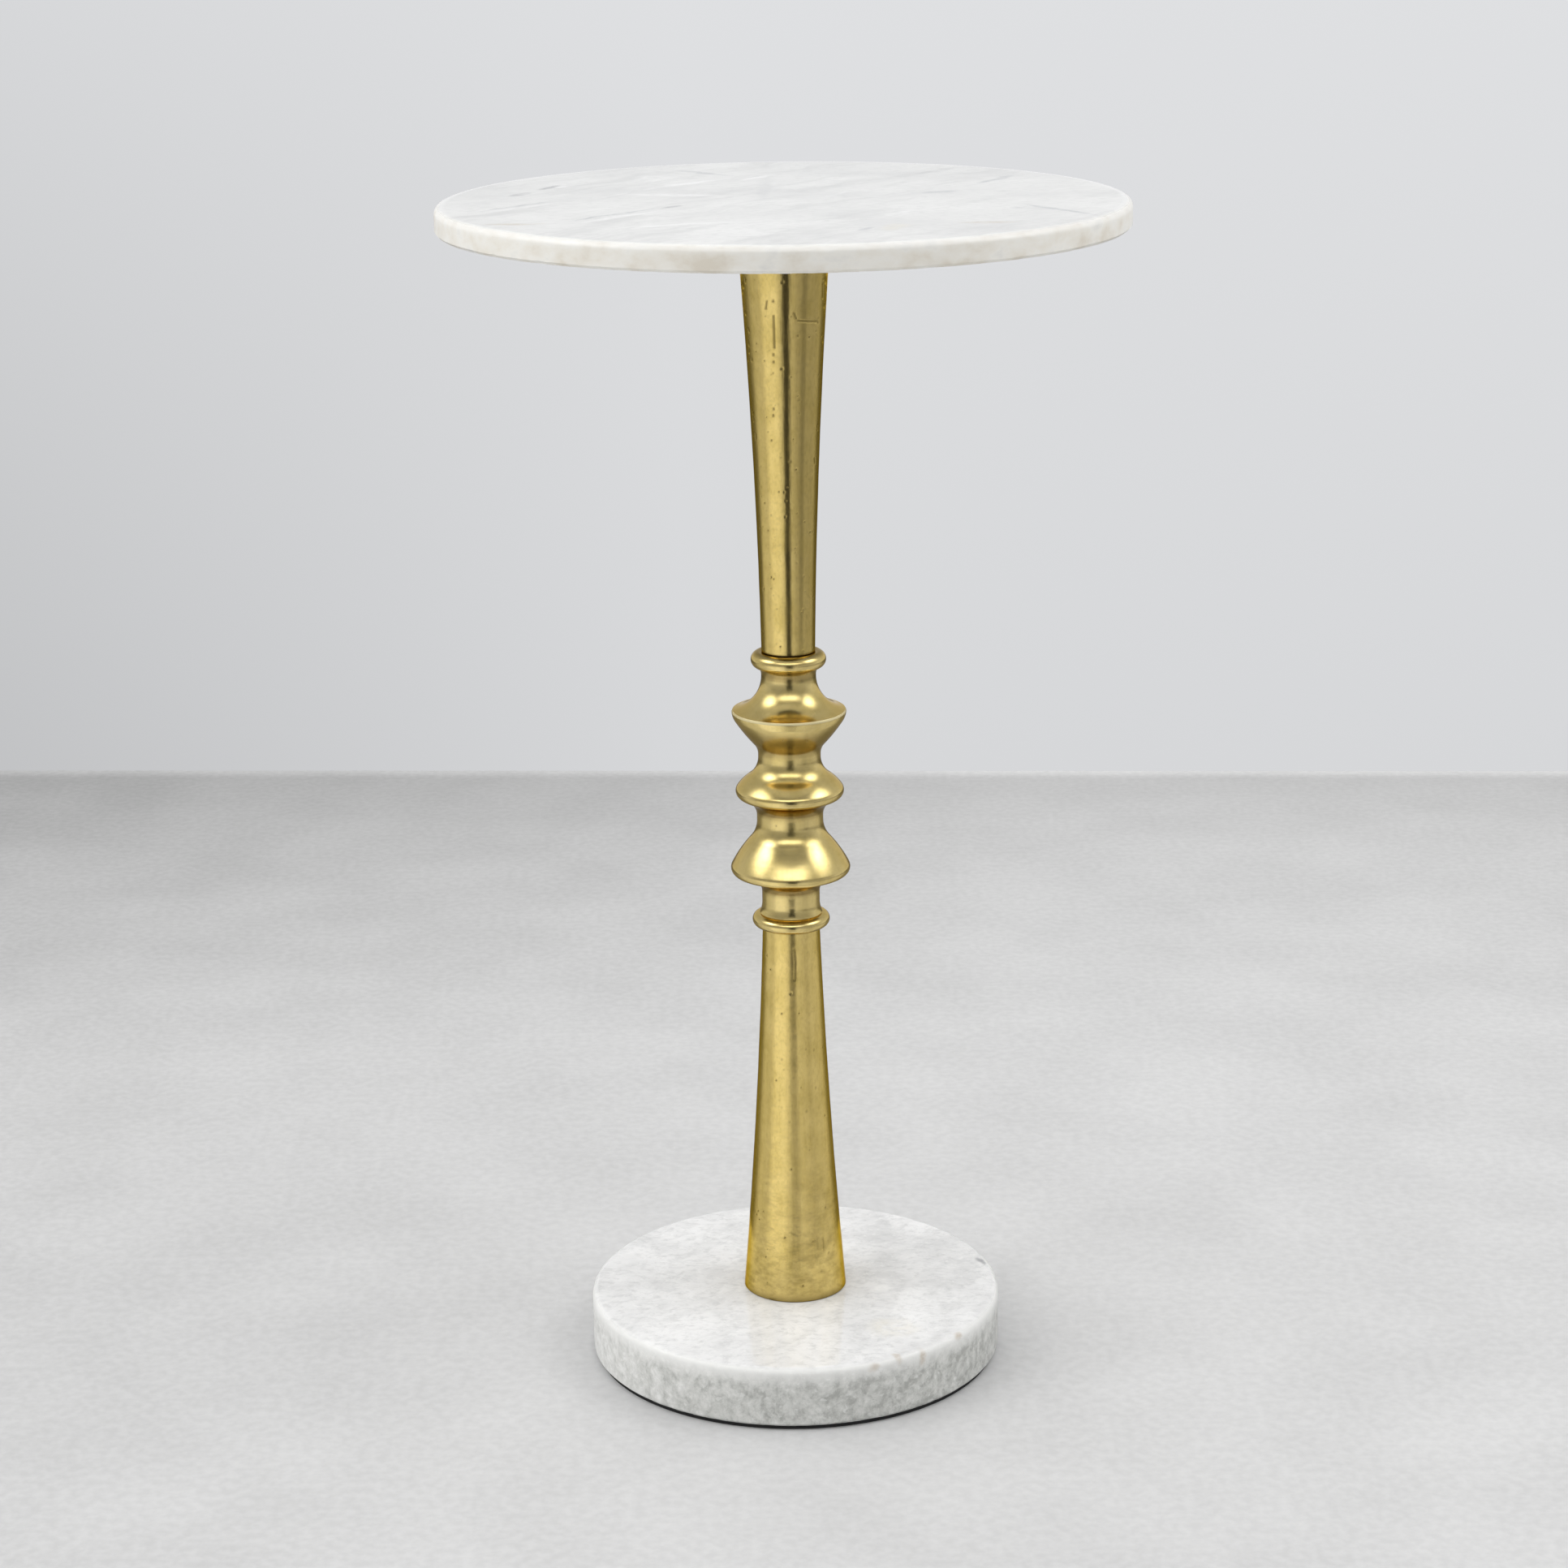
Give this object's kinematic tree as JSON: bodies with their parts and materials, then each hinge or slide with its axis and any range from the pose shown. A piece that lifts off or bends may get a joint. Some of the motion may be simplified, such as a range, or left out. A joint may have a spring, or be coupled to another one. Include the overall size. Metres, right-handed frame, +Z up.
{
  "type": "wine table",
  "caption": "Small round pedestal table: a thin marble top and a heavy round marble foot joined by a slender turned brass column, free-standing, to hold a glass or a bottle.",
  "frame": {"origin": "on the floor, at the centre of the pad's underside", "axes": "+Z up along the column; the table is round, so +X and +Y are free; the picture looks along +Y"},
  "size_m": [0.3, 0.3, 0.5355],
  "materials": {
    "white_marble": "polished",
    "clouded_marble": "polished",
    "cast_brass": "cast and hand polished",
    "turned_brass": "turned and polished",
    "black_steel": "powder coated",
    "zinc_steel": "zinc plated",
    "pad_rubber": "matt"
  },
  "bodies": {
    "root": {"marble_top": "white_marble", "marble_base": "clouded_marble", "lower_shaft": "cast_brass", "centre_knop": "turned_brass", "upper_shaft": "cast_brass", "top_plate": "black_steel", "top_boss": "zinc_steel", "foot_disc": "zinc_steel", "tie_rod": "zinc_steel", "base_washer": "zinc_steel", "spring_washer": "zinc_steel", "base_nut": "zinc_steel", "base_pad": "pad_rubber"}
  },
  "joints": []
}
